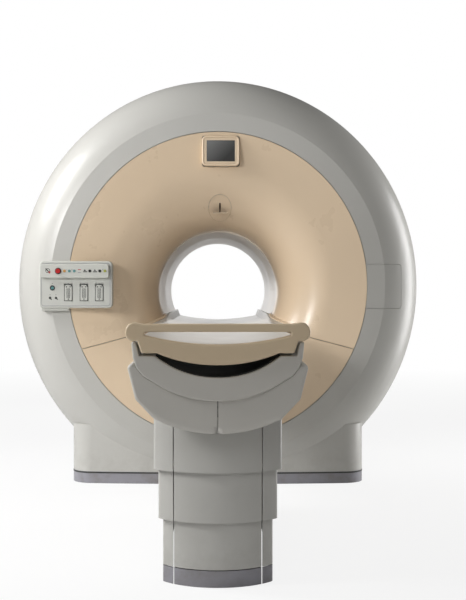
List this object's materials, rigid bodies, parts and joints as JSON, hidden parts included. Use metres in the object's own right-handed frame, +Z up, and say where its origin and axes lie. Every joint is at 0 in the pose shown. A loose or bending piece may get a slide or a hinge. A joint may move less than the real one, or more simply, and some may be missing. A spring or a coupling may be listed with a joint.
{
  "type": "mri scanner",
  "caption": "Closed-bore MRI scanner: round moulded covers with a beige funnel around a 60 cm bore, and a rising patient table with a sliding dished top.",
  "frame": {"origin": "on the floor, under the middle of the whole machine", "axes": "+Y from the handle end of the table into the bore, +Z up, +X to the right of someone who faces the bore"},
  "size_m": [2.094, 3.839, 2.0884],
  "materials": {
    "cover": "satin moulded cover, light warm grey",
    "cover_shade": "satin moulded cover, table hull grey",
    "funnel": "satin moulded cover, cream beige",
    "end_beige": "satin moulding, darker beige",
    "plinth": "satin strip, blue grey",
    "liner": "smooth bore liner, off white",
    "board": "smooth glass-fibre board, light grey",
    "screen": "dark display glass",
    "panel": "fine textured housing, light grey green",
    "socket": "dark socket insert",
    "red_button": "gloss red",
    "amber_button": "gloss amber",
    "teal_button": "gloss teal",
    "black_button": "gloss black",
    "green_button": "gloss yellow green",
    "laser_window": "dark window",
    "vessel_steel": "bead-blasted stainless steel",
    "shield": "bright aluminium sheet",
    "winding": "potted superconducting winding",
    "resin": "cast epoxy resin",
    "frame_steel": "powder-coated frame"
  },
  "bodies": {
    "machine": {"front_cover": "cover", "rear_cover": "cover", "left_barrel_cover": "cover", "right_barrel_cover": "cover", "blanking_panel": "cover", "plinth_strip": "plinth", "funnel_upper": "funnel", "funnel_left": "funnel", "funnel_right": "funnel", "rear_funnel": "funnel", "bore_entry_ring": "liner", "bore_liner": "liner", "bore_bridge": "board", "entry_plate": "board", "display_bezel": "funnel", "display_screen": "screen", "laser_cover": "funnel", "laser_window": "laser_window", "operator_panel": "panel", "keypad_strip": "panel", "monitoring_socket": "socket", "signal_jacks": "socket", "coil_socket_1": "socket", "coil_socket_2": "socket", "coil_socket_3": "socket", "vacuum_vessel": "vessel_steel", "thermal_shield": "shield", "helium_vessel": "vessel_steel", "main_coils": "winding", "shield_coils": "winding", "gradient_coil": "resin", "body_coil": "resin", "service_turret": "vessel_steel", "cold_head": "vessel_steel", "magnet_feet": "frame_steel", "table_plinth_front": "plinth", "table_plinth_wrap": "plinth", "lower_tier_front": "cover", "lower_tier_wrap": "cover", "table_base": "frame_steel"},
    "middle_stage": {"middle_tier_front": "cover", "middle_tier_wrap": "cover", "lift_middle_tube": "frame_steel"},
    "table_carriage": {"upper_tier_front": "cover", "upper_tier_wrap": "cover", "lift_inner_tube": "frame_steel", "table_chassis": "frame_steel", "trough": "cover_shade", "left_hull": "cover_shade", "right_hull": "cover_shade", "table_rails": "panel"},
    "patient_top": {"tabletop": "board", "tabletop_end": "end_beige"},
    "emergency_stop_cap": {"emergency_stop_button": "red_button"},
    "ventilation_cap": {"ventilation_button": "amber_button"},
    "table_up_cap": {"table_up_button": "teal_button"},
    "table_down_cap": {"table_down_button": "teal_button"},
    "tabletop_in_cap": {"tabletop_in_button": "black_button"},
    "tabletop_out_cap": {"tabletop_out_button": "black_button"},
    "bore_light_cap": {"bore_light_button": "green_button"}
  },
  "joints": [
    {"name": "table_lift", "type": "slide", "parent": "machine", "child": "table_carriage", "axis": [0, 0, 1], "range_m": [-0.31, 0]},
    {"name": "middle_stage_lift", "type": "slide", "parent": "machine", "child": "middle_stage", "axis": [0, 0, 1], "range_m": [-0.155, 0]},
    {"name": "tabletop_slide", "type": "slide", "parent": "table_carriage", "child": "patient_top", "axis": [0, 1, 0], "range_m": [0, 1.8]},
    {"name": "emergency_stop_press", "type": "slide", "parent": "machine", "child": "emergency_stop_cap", "axis": [0, 1, 0], "range_m": [0, 0.003]},
    {"name": "ventilation_press", "type": "slide", "parent": "machine", "child": "ventilation_cap", "axis": [0, 1, 0], "range_m": [0, 0.003], "stiffness_N_per_m": 400},
    {"name": "table_up_press", "type": "slide", "parent": "machine", "child": "table_up_cap", "axis": [0, 1, 0], "range_m": [0, 0.003], "stiffness_N_per_m": 400},
    {"name": "table_down_press", "type": "slide", "parent": "machine", "child": "table_down_cap", "axis": [0, 1, 0], "range_m": [0, 0.003], "stiffness_N_per_m": 400},
    {"name": "tabletop_in_press", "type": "slide", "parent": "machine", "child": "tabletop_in_cap", "axis": [0, 1, 0], "range_m": [0, 0.003], "stiffness_N_per_m": 400},
    {"name": "tabletop_out_press", "type": "slide", "parent": "machine", "child": "tabletop_out_cap", "axis": [0, 1, 0], "range_m": [0, 0.003], "stiffness_N_per_m": 400},
    {"name": "bore_light_press", "type": "slide", "parent": "machine", "child": "bore_light_cap", "axis": [0, 1, 0], "range_m": [0, 0.003], "stiffness_N_per_m": 400}
  ],
  "couplings": [
    {"joint": "middle_stage_lift", "follows": "table_lift", "ratio": 0.5}
  ]
}
